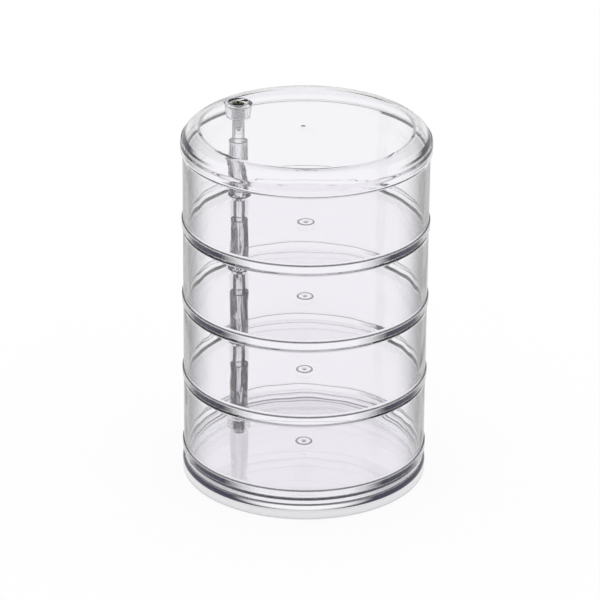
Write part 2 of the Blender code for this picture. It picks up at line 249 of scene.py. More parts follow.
# Uneven surface of each finish: depth and scale of its waves, and how many times as tall as wide they are.
RIPPLE_DETAIL = 0.0
NO_RIPPLE = (0.0, 90.0, 1.0)
WALL_RIPPLE = (0.00015, 90.0, 1.0)
BOSS_RIPPLE = (0.0016, 700.0, 5.0)
ROD_RIPPLE = (0.0008, 900.0, 12.0)

# Faint scuffs in the gloss, which grow as a noise passes from the first share to the second.
SCUFF_SCALE = 260.0
SCUFF_DETAIL = 4.0
SCUFF_SHARES = (0.55, 0.8)
SCUFF_ROUGHNESS = 0.04

PLASTIC_IOR = 1.5
UNBENT_IOR = 1.0

# Plated metals: colour, roughness, and the second colour that it drifts to. On zinc and bright plate it is
# grain; brass's near-black second colour is a painted reflection of dark surroundings.
BRASS = ((0.5, 0.45, 0.14), 0.12, (0.02, 0.022, 0.015))
ZINC = ((0.82, 0.82, 0.84), 0.25, (0.76, 0.76, 0.8))
BRIGHT = ((0.97, 0.97, 0.98), 0.25, (0.9, 0.9, 0.92))
# Painted shade in a screw's cross recess, deeper is darker.
RECESS_SHADE = (0.02, 0.02, 0.015)

# The metals' grain is a noise: the colour drifts between two of its levels, the roughness between two shares.
# On brass this gives a painted dark reflection, with gold patches as painted glints.
METAL_GRAIN = 900.0
METAL_DETAIL = 2.0
METAL_DRIFT = (0.36, 0.52)
METAL_WEAR = (0.6, 1.4)
METAL_BUMP = 0.00002

# Camera, fitted to the photograph's ellipses. Its angles are in degrees.
PHOTO_WIDTH_PX = 600
CAMERA_FOCAL_PX = 3549.2
CAMERA_DISTANCE = 1.441
CAMERA_ELEVATION = 24.76
CAMERA_ROLL = 0.50
CAMERA_AZIMUTH = -1.5
CAMERA_AIM_X = -0.0021
CAMERA_AIM_HEIGHT = 0.0742
CAMERA_CLIP = (0.05, 20.0)
SENSOR_WIDTH_MM = 36.0

# Studio
FLOOR_REACH = 4.0
FLOOR_GAP = 0.0002
FLOOR_GLOW_SHARE = 0.9
MIRROR_SHARE = 0.93
WHITE = (1, 1, 1, 1)


# Outlines

def soft_step(distance, width):
    """0 below -width / 2, 1 above width / 2, and 3 s^2 - 2 s^3 between."""
    share = np.clip(distance / width + 0.5, 0, 1)
    return share * share * (3 - 2 * share)


def corner(r, z, radius, start, end):
    """Rounds the corner (r, z): points c + R (cos a, sin a), with a from start to end inside one quadrant.

    The centre c lies R back from the corner, both ways.
    """
    middle = (start + end) / 2
    centre_r = r - math.copysign(radius, math.cos(middle))
    centre_z = z - math.copysign(radius, math.sin(middle))
    steps = max(ROUND_LEAST_STEPS, math.ceil(abs(end - start) / ROUND_STEP))
    angle = np.linspace(start, end, steps + 1)
    return np.stack([centre_r + radius * np.cos(angle), centre_z + radius * np.sin(angle)], axis=1)


def toned(stretch, dark=0.0, edge_shade=1.0, shade_streak=0.0, finish=WALL_FINISH):
    """Gives a stretch of (r, z) points its tone of painted shade and its finish."""
    stretch = np.atleast_2d(np.asarray(stretch, float))
    return np.column_stack([stretch, np.tile((dark, edge_shade, shade_streak, finish), (len(stretch), 1))])


def banded(r, z, radius, bands, unit=1.0):
    """Rounds a corner in bands of different tone, whose angles are given in units."""
    return [toned(corner(r, z, radius, start * unit, end * unit), **tone) for start, end, tone in bands]


def outline(*stretches):
    """Joins stretches of points into one line of (r, z, tone, finish), and drops points that repeat."""
    arrays = [np.atleast_2d(np.asarray(stretch, float)) for stretch in stretches]
    points = np.concatenate([toned(array) if array.shape[1] == 2 else array for array in arrays])
    step = np.abs(np.diff(points[:, :2], axis=0)).max(axis=1)
    return points[np.concatenate([[True], step > SAME_POINT])]


# Skins

class Shell:
    """A closed skin put together from turned bands and level plates that share their border rings."""

    def __init__(self):
        self.points = np.empty((0, 3))
        self.tones = np.empty((0, 3))
        self.faces = []
        self.kinds = []

    def band(self, points, facets, axis, change=None, finish=None):
        """Turns an outline: at angle t, ring i is (ax + r_i cos t, ay + r_i sin t, z_i).

        change(r, z, t) gives what is added to r and to z. An end at r = 0 closes in one pole.
        A finish given here goes before those of the points.
        It returns the corner numbers of the first and the last ring.
        """
        r, z = points[:, :1], points[:, 1:2]
        angle = (np.arange(facets) + 0.5) * (WHOLE / facets)
        swell, lift = (0, 0) if change is None else change(r, z, angle)
        reach, level = r + swell * (r > 0) + 0 * angle, z + lift + 0 * angle
        ring = np.stack([axis[0] + reach * np.cos(angle), axis[1] + reach * np.sin(angle), level], axis=-1)
        index = np.arange(len(r) * facets).reshape(len(r), facets) + len(self.points)
        for end in (0, -1):
            if r[end, 0] == 0:
                index[end] = index[end][0]
        near, far = index[:-1], index[1:]
        quads = np.stack([near, far, np.roll(far, -1, 1), np.roll(near, -1, 1)], axis=-1)
        self.points = np.concatenate([self.points, ring.reshape(-1, 3)])
        self.tones = np.concatenate([self.tones, np.repeat(points[:, 2:5], facets, axis=0)])
        self.faces += [[c for place, c in enumerate(quad) if c != quad[place - 1]]
                       for quad in quads.reshape(-1, 4).tolist()]
        kinds = points[1:, 5] if finish is None else np.full(len(points) - 1, finish)
        self.kinds += np.repeat(kinds, facets).astype(int).tolist()
        return index[0], index[-1]

    def plate(self, *rings, finish=PLATE_FINISH):
        """Fills the level plane inside the first ring and outside the others."""
        corners = np.concatenate(rings)
        loops = [[Vector(point) for point in self.points[ring]] for ring in rings]
        new_faces = corners[np.array(tessellate_polygon(loops))].tolist()
        self.faces += new_faces
        self.kinds += [finish] * len(new_faces)

    def finished(self, name):
        """The skin as an object, with its tones stored on the mesh."""
        used = np.unique(np.concatenate([np.asarray(face) for face in self.faces]))
        number = np.zeros(len(self.points), int)
        number[used] = np.arange(len(used))
        faces = [[int(number[c]) for c in face] for face in self.faces]
        mesh = bpy.data.meshes.new(name)
        mesh.from_pydata(self.points[used].tolist(), [], faces)
        mesh.polygons.foreach_set("material_index", np.array(self.kinds, np.int32))
        tone = mesh.attributes.new("tone", "FLOAT_VECTOR", "POINT")
        tone.data.foreach_set("vector", self.tones[used].ravel())
        return settled(name, mesh)


def settled(name, mesh):
    """Turns a mesh's faces outward, shades it smooth between its sharp edges and places it."""
    skin = bmesh.new()
    skin.from_mesh(mesh)
    bmesh.ops.remove_doubles(skin, verts=skin.verts, dist=SAME_POINT)
    bmesh.ops.recalc_face_normals(skin, faces=skin.faces)
    open_edges = sum(1 for edge in skin.edges if len(edge.link_faces) != 2)
    if open_edges:
        print(name, "has open edges:", open_edges)
    skin.to_mesh(mesh)
    skin.free()
    mesh.shade_smooth()
    mesh.set_sharp_from_angle(angle=SHARP_ANGLE)
    return placed(name, mesh)


def placed(name, data):
    """A new object in the scene, at the origin."""
    thing = bpy.data.objects.new(name, data)
    bpy.context.scene.collection.objects.link(thing)
    return thing


def lifted_copy(thing, name, lift):
    """A copy of an object whose mesh lies higher, while its origin stays where it is."""
    mesh = thing.data.copy()
    mesh.transform(Matrix.Translation((0, 0, lift)))
    return placed(name, mesh)


# Shapes

def make_trays():
    """Four like trays: wall, bead and dimple turned about the tower, boss and bore about the post."""
    low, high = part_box("tray_1")
    foot, top, bead_r = low.z, high.z, high.x
    wall_r = bead_r - BEAD_STAND_OUT
    inner_r = wall_r - WALL
    bead_top = foot + BEAD_HEIGHT
    floor = foot + WALL
    boss_top = foot + BOSS_HEIGHT
    shell = Shell()
    under_outer, floor_outer = shell.band(outline(
        toned((bead_r - BEAD_ROUND - MARGIN, foot), **NO_EDGE_SHADE),
        *banded(bead_r, foot, BEAD_ROUND, BEAD_FOOT_BANDS),
        toned((bead_r, foot + BEAD_STREAK_LOW), **BEAD_STREAK_TONE),
        toned((bead_r, foot + BEAD_STREAK_HIGH), **BEAD_STREAK_TONE),
        toned((bead_r, bead_top - BEAD_STAND_OUT - MARGIN), **BEAD_FADE_TONE),
        toned((bead_r, bead_top - BEAD_STAND_OUT), **BEAD_TOP_TONE),
        *banded(bead_r, bead_top, BEAD_STAND_OUT, BEAD_STEP_BANDS),
        (wall_r, bead_top + MARGIN),
        (wall_r, top - RIM_FADE),
        toned((wall_r, top - RIM_ROUND - MARGIN), **NO_EDGE_SHADE),
        toned(corner(wall_r, top, RIM_ROUND, 0, QUARTER), **RIM_TONE),
        toned(corner(inner_r, top, RIM_ROUND, QUARTER, HALF), **UNBENT_CLEAR),
        toned((inner_r, top - RIM_ROUND - MARGIN), **NO_EDGE_SHADE),
        (inner_r, top - RIM_FADE),
        (inner_r, floor + FLOOR_FILLET + MARGIN),
        toned(corner(inner_r, floor, FLOOR_FILLET, 0, -QUARTER), **UNBENT_CLEAR),
        toned((inner_r - FLOOR_FILLET - MARGIN, floor), **UNBENT_CLEAR),
    ), WALL_FACETS, TOWER_AXIS)
    under_bore, floor_boss = shell.band(outline(
        toned((BORE_RADIUS + EDGE_ROUND + MARGIN, foot), **BORE_TONE),
        toned(corner(BORE_RADIUS, foot, EDGE_ROUND, -QUARTER, -HALF), **BORE_TONE),
        toned((BORE_RADIUS, foot + EDGE_ROUND + MARGIN), **BORE_TONE),
        toned((BORE_RADIUS, boss_top - EDGE_ROUND - MARGIN), **BORE_TONE),
        toned(corner(BORE_RADIUS, boss_top, EDGE_ROUND, HALF, QUARTER), **BORE_TONE),
        toned(corner(BOSS_RADIUS, boss_top, EDGE_ROUND, QUARTER, 0), **BOSS_LIP_TONE),
        toned((BOSS_RADIUS, boss_top - EDGE_ROUND - MARGIN), **BOSS_TONE),
        toned((BOSS_RADIUS, floor + BOSS_FILLET + MARGIN), **BOSS_TONE),
        corner(BOSS_RADIUS, floor, BOSS_FILLET, HALF, HALF + QUARTER),
        (BOSS_RADIUS + BOSS_FILLET + MARGIN, floor),
    ), POST_FACETS, POST_AXIS, finish=ROD_FINISH)
    dimple_floor = foot + DIMPLE_DEPTH
    nub_end = dimple_floor - NUB_HEIGHT
    _, under_dimple = shell.band(outline(
        toned((0, nub_end), **NUB_TONE),
        toned((NUB_RADIUS - 3 * EDGE_ROUND, nub_end), **NUB_TONE),
        toned(corner(NUB_RADIUS, nub_end, EDGE_ROUND, -QUARTER, 0), **NUB_EDGE_TONE),
        toned(corner(NUB_RADIUS, dimple_floor, EDGE_ROUND, HALF, QUARTER), **NUB_FOOT_TONE),
        (NUB_RADIUS + 3 * EDGE_ROUND, dimple_floor),
        (DIMPLE_LINE_FROM, dimple_floor),
        toned((DIMPLE_LINE_FULL, dimple_floor), **DIMPLE_LINE_TONE),
        toned(corner(DIMPLE_RADIUS, dimple_floor, EDGE_ROUND, QUARTER, 0), **DIMPLE_LINE_TONE),
        (DIMPLE_RADIUS, dimple_floor - 2 * EDGE_ROUND),
        corner(DIMPLE_RADIUS, foot, EDGE_ROUND, HALF, HALF + QUARTER),
        (DIMPLE_RADIUS + EDGE_ROUND + MARGIN, foot),
    ), POST_FACETS, TOWER_AXIS, finish=PLATE_FINISH)
    shell.plate(under_outer, under_bore, under_dimple)
    shell.plate(floor_outer, floor_boss)
    trays = [shell.finished("tray_1_clear")]
    for number in (2, 3, 4):
        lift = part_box(f"tray_{number}")[0].z - foot
        trays.append(lifted_copy(trays[0], f"tray_{number}_clear", lift))
    clear_boss_top(trays[0], foot)
    return trays


def clear_boss_top(tray, foot):
    """Lessens the painted edge shade in the upper half of one boss.

    The painted edge shade is multiplied by 1 - k (3 t^2 - 2 t^3), with t running up the middle of the boss.
    """
    vertices, tones = tray.data.vertices, tray.data.attributes["tone"].data
    place, tone = np.zeros(3 * len(vertices)), np.zeros(3 * len(vertices))
    vertices.foreach_get("co", place)
    tones.foreach_get("vector", tone)
    place, tone = place.reshape(-1, 3), tone.reshape(-1, 3)
    on_boss = np.hypot(*(place[:, :2] - POST_AXIS).T) < BOSS_RADIUS + MARGIN
    rise = (place[:, 2] - foot) / BOSS_HEIGHT
    tone[:, 1] *= 1 - BOSS_CLEARING * soft_step(rise - BOSS_CLEARING_HEIGHT, BOSS_CLEARING_WIDTH) * on_boss
    tones.foreach_set("vector", tone.ravel())


def gate_mark(shell, axis, level, side, **tone):
    """A small gate mark, raised from a level plate (side 1) or sunk in it (side -1).

    The tone is that of its border ring, whose corner numbers it returns.
    """
    end = level + side * GATE_DEPTH
    _, border = shell.band(outline(
        (0, end),
        (GATE_RADIUS - EDGE_ROUND, end),
        corner(GATE_RADIUS, end, EDGE_ROUND, side * QUARTER, 0),
        corner(GATE_RADIUS, level, EDGE_ROUND, HALF, HALF + side * QUARTER),
        toned((GATE_RADIUS + EDGE_ROUND + MARGIN, level), **tone),
    ), POST_FACETS, axis)
    return border


def make_lid():
    """The lid: shoulder and bead turned about the tower, cup and recess about the post."""
    low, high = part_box("lid")
    foot, top, bead_r = low.z, high.z, high.x
    lid_r = bead_r - LID_BEAD_STAND_OUT
    inner_r = lid_r - WALL
    under = top - WALL
    bead_top = foot + LID_BEAD_HEIGHT - LID_BEAD_STAND_OUT
    cup_foot = top - CUP_DEPTH
    recess_floor = top - RECESS_DEPTH
    taper = (CUP_TOP_RADIUS - CUP_FOOT_RADIUS) / (CUP_DEPTH - WALL / 2)
    cup_under_r = CUP_FOOT_RADIUS + taper * (under - cup_foot)
    share = np.linspace(0, 1, BLEND_RINGS)
    bead_blend = np.column_stack([
        lid_r + LID_BEAD_STAND_OUT * soft_step(share - 0.5, 1.0),
        bead_top + LID_BEAD_BLEND * (1 - share),
    ])
    shell = Shell()
    top_outer, under_outer = shell.band(outline(
        toned((lid_r - LID_SHOULDER - MARGIN, top), **NO_EDGE_SHADE),
        *banded(lid_r, top, LID_SHOULDER, SHOULDER_BANDS),
        toned(bead_blend, **NO_EDGE_SHADE),
        toned((bead_r, bead_top - MARGIN), **NO_EDGE_SHADE),
        toned((bead_r, foot + RIM_ROUND + MARGIN), **NO_EDGE_SHADE),
        *banded(bead_r, foot, RIM_ROUND, LID_FOOT_BANDS),
        toned(corner(inner_r, foot, EDGE_ROUND, -QUARTER, -HALF), **UNBENT_CLEAR),
        (inner_r, foot + EDGE_ROUND + MARGIN),
        *banded(inner_r, under, LID_UNDER_ROUND, LID_UNDER_BANDS),
        toned((inner_r - LID_UNDER_ROUND - MARGIN, under), **NO_EDGE_SHADE),
    ), WALL_FACETS, TOWER_AXIS)
    top_recess, under_cup = shell.band(outline(
        toned((RECESS_RADIUS + EDGE_ROUND + MARGIN, top), **NO_EDGE_SHADE),
        corner(RECESS_RADIUS, top, EDGE_ROUND, QUARTER, HALF),
        toned((RECESS_RADIUS, top - EDGE_ROUND - MARGIN), **UNBENT),
        toned((RECESS_RADIUS, recess_floor + EDGE_ROUND + MARGIN), **UNBENT),
        toned(corner(RECESS_RADIUS, recess_floor, EDGE_ROUND, 0, -QUARTER), **UNBENT),
        toned(corner(BORE_RADIUS, recess_floor, EDGE_ROUND, QUARTER, HALF), **UNBENT),
        (BORE_RADIUS, recess_floor - EDGE_ROUND - MARGIN),
        (BORE_RADIUS, cup_foot + EDGE_ROUND + MARGIN),
        corner(BORE_RADIUS, cup_foot, EDGE_ROUND, HALF, HALF + QUARTER),
        corner(CUP_FOOT_RADIUS, cup_foot, 2 * EDGE_ROUND, -QUARTER, 0),
        (CUP_FOOT_RADIUS + taper * 3 * EDGE_ROUND, cup_foot + 3 * EDGE_ROUND),
        (cup_under_r - taper * EDGE_ROUND, under - 2 * EDGE_ROUND),
        corner(cup_under_r, under, EDGE_ROUND, HALF, QUARTER),
        toned((cup_under_r + EDGE_ROUND + MARGIN, under), **NO_EDGE_SHADE),
    ), POST_FACETS, POST_AXIS)
    top_gate = gate_mark(shell, (LID_GATE_SHIFT, 0.0), top, -1, **NO_EDGE_SHADE)
    shell.plate(top_outer, top_recess, top_gate, finish=WALL_FINISH)
    shell.plate(under_outer, under_cup, finish=WALL_FINISH)
    return shell.finished("lid_clear")


def make_base():
    """The base: foot ring, flange and rim turned about the tower, socket about the post."""
    low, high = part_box("base")
    foot, top, flange_r = low.z, high.z, high.x
    under = foot + FOOT_HEIGHT
    floor = under + WALL
    flange_top = foot + FLANGE_HEIGHT
    ring_r = flange_r - FOOT_WIDTH
    inner_r = BASE_RIM_RADIUS - BASE_RIM_WALL
    meeting = math.acos((BASE_RIM_RADIUS - (flange_r - FLANGE_ROUND)) / FLANGE_ROUND)
    seat = under + SOCKET_STOP
    shell = Shell()
    under_outer, floor_outer = shell.band(outline(
        (ring_r - MARGIN, under),
        (ring_r, under),
        toned((ring_r, foot + EDGE_ROUND), **UNBENT_CLEAR),
        toned((ring_r + EDGE_ROUND, foot), **UNBENT_CLEAR),
        toned((flange_r - EDGE_ROUND, foot), **UNBENT_CLEAR),
        toned(corner(flange_r, foot, EDGE_ROUND, -QUARTER, 0), **NO_EDGE_SHADE),
        toned((flange_r, foot + EDGE_ROUND + MARGIN), **FLANGE_FOOT_TONE),
        toned((flange_r, foot + FLANGE_FOOT_FADE), **FLANGE_SIDE_TONE),
        toned((flange_r, flange_top - FLANGE_ROUND - MARGIN), **FLANGE_SIDE_TONE),
        *banded(flange_r, flange_top, FLANGE_ROUND, FLANGE_BANDS, meeting),
        toned((BASE_RIM_RADIUS, flange_top + MARGIN), **GROOVE_TONE),
        toned((BASE_RIM_RADIUS, flange_top + 2 * MARGIN), **BASE_RIM_SIDE_TONE),
        toned((BASE_RIM_RADIUS, top - RIM_ROUND - MARGIN), **BASE_RIM_SIDE_TONE),
        toned(corner(BASE_RIM_RADIUS, top, RIM_ROUND, 0, QUARTER), **BASE_RIM_TONE),
        corner(inner_r, top, RIM_ROUND, QUARTER, HALF),
        (inner_r, top - RIM_ROUND - MARGIN),
        toned((inner_r, floor + BASE_FILLET + MARGIN), **NO_EDGE_SHADE),
        toned(corner(inner_r, floor, BASE_FILLET, 0, -QUARTER), **NO_EDGE_SHADE),
        toned((inner_r - BASE_FILLET - MARGIN, floor), **NO_EDGE_SHADE),
    ), WALL_FACETS, TOWER_AXIS)
    under_hole, floor_socket = shell.band(outline(
        (SCREW_HOLE + MARGIN, under),
        (SCREW_HOLE, under),
        (SCREW_HOLE, seat),
        (BORE_RADIUS, seat),
        (BORE_RADIUS, top - EDGE_ROUND - MARGIN),
        corner(BORE_RADIUS, top, EDGE_ROUND, HALF, QUARTER),
        corner(SOCKET_RADIUS, top, EDGE_ROUND, QUARTER, 0),
        (SOCKET_RADIUS, top - EDGE_ROUND - MARGIN),
        corner(SOCKET_RADIUS, floor, EDGE_ROUND, HALF, HALF + QUARTER),
        (SOCKET_RADIUS + EDGE_ROUND + MARGIN, floor),
    ), POST_FACETS, POST_AXIS)
    floor_gate = gate_mark(shell, TOWER_AXIS, floor, 1)
    shell.plate(under_outer, under_hole)
    shell.plate(floor_outer, floor_socket, floor_gate)
    return shell.finished("base_clear")


def seam(r, z, angle):
    """Two mould seams: h exp(-(d / w)^2) outward, with d the angle to the nearest of the two."""
    across = np.abs(np.mod(angle, HALF) - QUARTER)
    return SEAM_RISE * np.exp(-((across / SEAM_SPREAD) ** 2)), 0


def make_post():
    """The post, with a pilot hole in each end and a mould seam along its front and back."""
    low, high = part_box("pivot_post")
    radius = (high.x - low.x) / 2
    foot, top = low.z, high.z
    lid_foot, boss_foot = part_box("lid")[0].z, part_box("tray_1")[0].z
    shell = Shell()
    shell.band(outline(
        toned((0, top - PILOT_DEPTH), **UNBENT),
        toned((SCREW_HOLE, top - PILOT_DEPTH), **UNBENT),
        toned((SCREW_HOLE, top), **UNBENT),
        toned(corner(radius, top, 2 * EDGE_ROUND, QUARTER, 0), **POST_TOP_TONE),
        toned((radius, lid_foot), **POST_LID_TONE),
        toned((radius, boss_foot + POST_FADE_FROM * BOSS_HEIGHT), **POST_TOP_TONE),
        toned((radius, boss_foot + POST_FADE_TO * BOSS_HEIGHT), **POST_TONE),
        toned((radius, foot + 3 * EDGE_ROUND), **POST_TONE),
        toned(corner(radius, foot, 2 * EDGE_ROUND, 0, -QUARTER), **UNBENT_CLEAR),
        toned((SCREW_HOLE, foot), **UNBENT_CLEAR),
        toned((SCREW_HOLE, foot + PILOT_DEPTH), **UNBENT),
        toned((0, foot + PILOT_DEPTH), **UNBENT),
    ), 2 * POST_FACETS, POST_AXIS, seam)
    return shell.finished("pivot_post_clear")


def make_cap():
    """The clear ring that keeps the lid on, under the top screw's head."""
    low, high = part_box("retaining_cap")
    radius = (high.x - low.x) / 2
    shell = Shell()
    shell.band(outline(
        (SCREW_HOLE, high.z - EDGE_ROUND),
        (SCREW_HOLE + EDGE_ROUND, high.z),
        corner(radius, high.z, 2 * EDGE_ROUND, QUARTER, 0),
        corner(radius, low.z, EDGE_ROUND, 0, -QUARTER),
        (SCREW_HOLE + EDGE_ROUND, low.z),
        (SCREW_HOLE, low.z + EDGE_ROUND),
        (SCREW_HOLE, high.z - EDGE_ROUND),
    ), POST_FACETS, POST_AXIS)
    return shell.finished("retaining_cap_clear")


def make_screw(node, turned_over):
    """A domed screw, made head up with the underside of its head at z = 0, then put in its place.

    Thread: r grows by h (1 - |2 frac(z / p - t / 2 pi) - 1|)^2, faded at both ends.
    Recess: z drops by d times the larger of two bars, each a product of soft steps across and along.
    The shank has the second of its materials.
    """
    low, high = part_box(node)
    head_r = (high.x - low.x) / 2
    tip = HEAD_HEIGHT - (high.z - low.z)
    shank_end = tip + POINT_LENGTH
    dome_height = HEAD_HEIGHT - HEAD_RIM

    def cut(r, z, angle):
        turn = np.mod(z / THREAD_PITCH - angle / WHOLE, 1.0)
        crest = (1 - np.abs(2 * turn - 1)) ** 2
        fade = np.clip((-z - THREAD_PITCH / 2) / THREAD_PITCH, 0, 1) * np.clip((z - tip) / POINT_LENGTH, 0, 1)
        x, y = np.abs(r * np.cos(angle)), np.abs(r * np.sin(angle))
        bars = [soft_step(CROSS_WIDTH / 2 - a, CROSS_SOFT) * soft_step(CROSS_LENGTH / 2 - b, CROSS_SOFT)
                for a, b in ((x, y), (y, x))]
        upper = (z > 0) & (r < head_r - EDGE_ROUND)
        return THREAD_RISE * crest * fade, -CROSS_DEPTH * np.maximum(*bars) * upper

    dome = np.linspace(0, QUARTER, HEAD_RINGS)
    shank = np.arange(0, -shank_end, THREAD_PITCH / THREAD_RINGS)
    point = np.linspace(0, 1, 2 * THREAD_RINGS)
    screw = Shell()
    screw.band(outline(
        np.column_stack([head_r * np.sin(dome), HEAD_RIM + dome_height * np.cos(dome)]),
        (head_r, EDGE_ROUND),
        (head_r - EDGE_ROUND, 0),
        (THREAD_CORE, 0),
        np.column_stack([np.full(len(shank), THREAD_CORE), -shank]),
        np.column_stack([THREAD_CORE * (1 - point) + POINT_RADIUS * point, shank_end - POINT_LENGTH * point]),
        (0, tip),
    ), POST_FACETS, (0.0, 0.0), cut)
    share = np.hypot(*screw.points[:, :2].T) / head_r
    height = screw.points[:, 2]
    uncut = HEAD_RIM + dome_height * np.sqrt(np.clip(1 - share ** 2, 0, 1))
    # Painted shade and reflection: the cross recess darkens with its depth, and the head's outer ring takes
    # the second colour.
    screw.tones[:, 0] = np.clip((uncut - height) / CROSS_DEPTH, 0, 1) * (height > 0)
    screw.tones[:, 1] = np.clip((share - HEAD_REFLECTION_FROM) / HEAD_REFLECTION_FADE, 0, 1) * (height > 0)
    screw.kinds = [int(max(height[face]) <= 0) for face in screw.faces]
    level = low.z + HEAD_HEIGHT if turned_over else high.z - HEAD_HEIGHT
    turn = (1, -1, -1) if turned_over else (1, 1, 1)
    screw.points = screw.points * turn + (*POST_AXIS, level)
    return screw.finished(f"{node}_fine")


# Nodes

def math_node(tree, operation, first, second):
    """The outcome of a sum on two values, each a float or a socket."""
    node = tree.nodes.new("ShaderNodeMath")
    node.operation = operation
    for socket, value in zip(node.inputs, (first, second)):
        if isinstance(value, float):
            socket.default_value = value
        else:
            tree.links.new(value, socket)
    return node.outputs[0]


def multiplied(tree, first, second):
    return math_node(tree, "MULTIPLY", first, second)


def greater(tree, first, second):
    return math_node(tree, "MAXIMUM", first, second)


def range_node(tree, value, low=0.0, high=1.0, to_low=0.0, to_high=1.0, interpolation="LINEAR"):
    """A value taken from one range to another, and held at the ends."""
    node = tree.nodes.new("ShaderNodeMapRange")
    node.interpolation_type = interpolation
    for name, number in (("From Min", low), ("From Max", high), ("To Min", to_low), ("To Max", to_high)):
        node.inputs[name].default_value = number
    tree.links.new(value, node.inputs["Value"])
    return node.outputs["Result"]


def noise_node(tree, place, scale, detail):
    node = tree.nodes.new("ShaderNodeTexNoise")
    node.inputs["Scale"].default_value = scale
    node.inputs["Detail"].default_value = detail
    tree.links.new(place, node.inputs["Vector"])
    return node.outputs["Fac"]


def mix_node(tree, share, first, second):
    """The colour at a share of the way from the first to the second, each a plain colour or a socket."""
    node = tree.nodes.new("ShaderNodeMix")
    node.data_type = "RGBA"
    for name, colour in (("A", first), ("B", second)):
        if isinstance(colour, tuple):
            node.inputs[name].default_value = (*colour, 1.0)
        else:
            tree.links.new(colour, node.inputs[name])
    tree.links.new(share, node.inputs["Factor"])
    return node.outputs["Result"]


def add_bump(tree, shader, height, distance, strength=None):
    """Makes a shader's surface uneven by a height."""
    node = tree.nodes.new("ShaderNodeBump")
    node.inputs["Distance"].default_value = distance
    if strength is not None:
        tree.links.new(strength, node.inputs["Strength"])
    tree.links.new(height, node.inputs["Height"])
    tree.links.new(node.outputs["Normal"], shader.inputs["Normal"])


def tone_outputs(tree):
    """The tone stored on the mesh, all painted shade: dark line in X, edge shade in Y and streak in Z."""
    tone = tree.nodes.new("ShaderNodeAttribute")
    tone.attribute_name = "tone"
    part = tree.nodes.new("ShaderNodeSeparateXYZ")
    tree.links.new(tone.outputs["Vector"], part.inputs[0])
    return part.outputs


def shade_streak_ramp(tree, facing):
    """The strength of a side streak, by how edge-on it's seen."""
    node = tree.nodes.new("ShaderNodeValToRGB")
    stops = node.color_ramp.elements
    stops[0].color = (SHADE_STREAK[0][1],) * 3 + (1.0,)
    stops[1].color = (SHADE_STREAK[-1][1],) * 3 + (1.0,)
    for position, strength in SHADE_STREAK:
        stops.new(position).color = (strength, strength, strength, 1.0)
    tree.links.new(facing, node.inputs["Fac"])
    return node.outputs["Color"]


def mirror_fade(tree, path):
    """Full after rays that only pass through plastic, less after each mirror turn on the way."""
    return math_node(tree, "POWER", MIRROR_SHARE, path.outputs["Glossy Depth"])


# Finishes

def new_material(name):
    """A material, with its node tree and its shader."""
    material = bpy.data.materials.new(name)
    material.use_nodes = True
    return material, material.node_tree, material.node_tree.nodes["Principled BSDF"]


def clear_plastic(name, colour, edge_shade, ripple=NO_RIPPLE, bends=True):
    """Clear moulded plastic: clear where it's looked at squarely, with painted shade where it's seen edge on.

    The stored tone adds painted shade lines, weighs the painted edge shade and gives the beads their painted
    shade streaks on the sides.
    Plastic that doesn't bend light takes its gloss from a coat.
    """
    ripple_depth, ripple_scale, ripple_stretch = ripple
    material, tree, shader = new_material(name)
    tone = tone_outputs(tree)
    # Painted shade: the colour darkens towards DARK by how edge-on the surface is seen and by the stored
    # tone.
    facing = tree.nodes.new("ShaderNodeLayerWeight").outputs["Facing"]
    edge_shaded = multiplied(tree, range_node(tree, facing, *edge_shade, interpolation="SMOOTHSTEP"), tone["Y"])
    shade_streaked = multiplied(tree, shade_streak_ramp(tree, facing), tone["Z"])
    most = greater(tree, greater(tree, edge_shaded, shade_streaked), tone["X"])
    left = math_node(tree, "SUBTRACT", 1.0, most)
    left.node.use_clamp = True
    tree.links.new(mix_node(tree, multiplied(tree, left, left), DARK, colour), shader.inputs["Base Color"])
    place = tree.nodes.new("ShaderNodeTexCoord").outputs["Object"]
    stretch = tree.nodes.new("ShaderNodeMapping")
    stretch.inputs["Scale"].default_value = (1.0, 1.0, 1.0 / ripple_stretch)
    tree.links.new(place, stretch.inputs["Vector"])
    waves = noise_node(tree, stretch.outputs["Vector"], ripple_scale, RIPPLE_DETAIL)
    add_bump(tree, shader, waves, ripple_depth, math_node(tree, "MINIMUM", 1.0, tone["Y"]))
    scuff = noise_node(tree, place, SCUFF_SCALE, SCUFF_DETAIL)
    worn = range_node(tree, scuff, *SCUFF_SHARES, to_high=SCUFF_ROUGHNESS)
    tree.links.new(worn, shader.inputs["Roughness"])
    shader.inputs["Transmission Weight"].default_value = 1.0
    shader.inputs["IOR"].default_value = PLASTIC_IOR if bends else UNBENT_IOR
    shader.inputs["Coat Weight"].default_value = 0.0 if bends else 1.0
    shader.inputs["Coat Roughness"].default_value = 0.0
    return material


def metal(name, colour, roughness, grain_and_reflection_colour):
    """Plated metal: its colour and gloss drift over the surface, and a recess gets painted shade.

    In the stored tone, X is how deep in a recess a point lies, and Y is the least share of the second colour,
    a painted reflection on a screw head's outer ring.
    """
    material, tree, shader = new_material(name)
    tone = tone_outputs(tree)
    place = tree.nodes.new("ShaderNodeTexCoord").outputs["Object"]
    grain = noise_node(tree, place, METAL_GRAIN, METAL_DETAIL)
    grain_and_reflection_share = greater(tree, range_node(tree, grain, *METAL_DRIFT), tone["Y"])
    surface = mix_node(tree, grain_and_reflection_share, colour, grain_and_reflection_colour)
    tree.links.new(mix_node(tree, tone["X"], surface, RECESS_SHADE), shader.inputs["Base Color"])
    wear = range_node(tree, grain, to_low=METAL_WEAR[0] * roughness, to_high=METAL_WEAR[1] * roughness)
    tree.links.new(wear, shader.inputs["Roughness"])
    add_bump(tree, shader, grain, METAL_BUMP)
    shader.inputs["Metallic"].default_value = 1.0
    return material


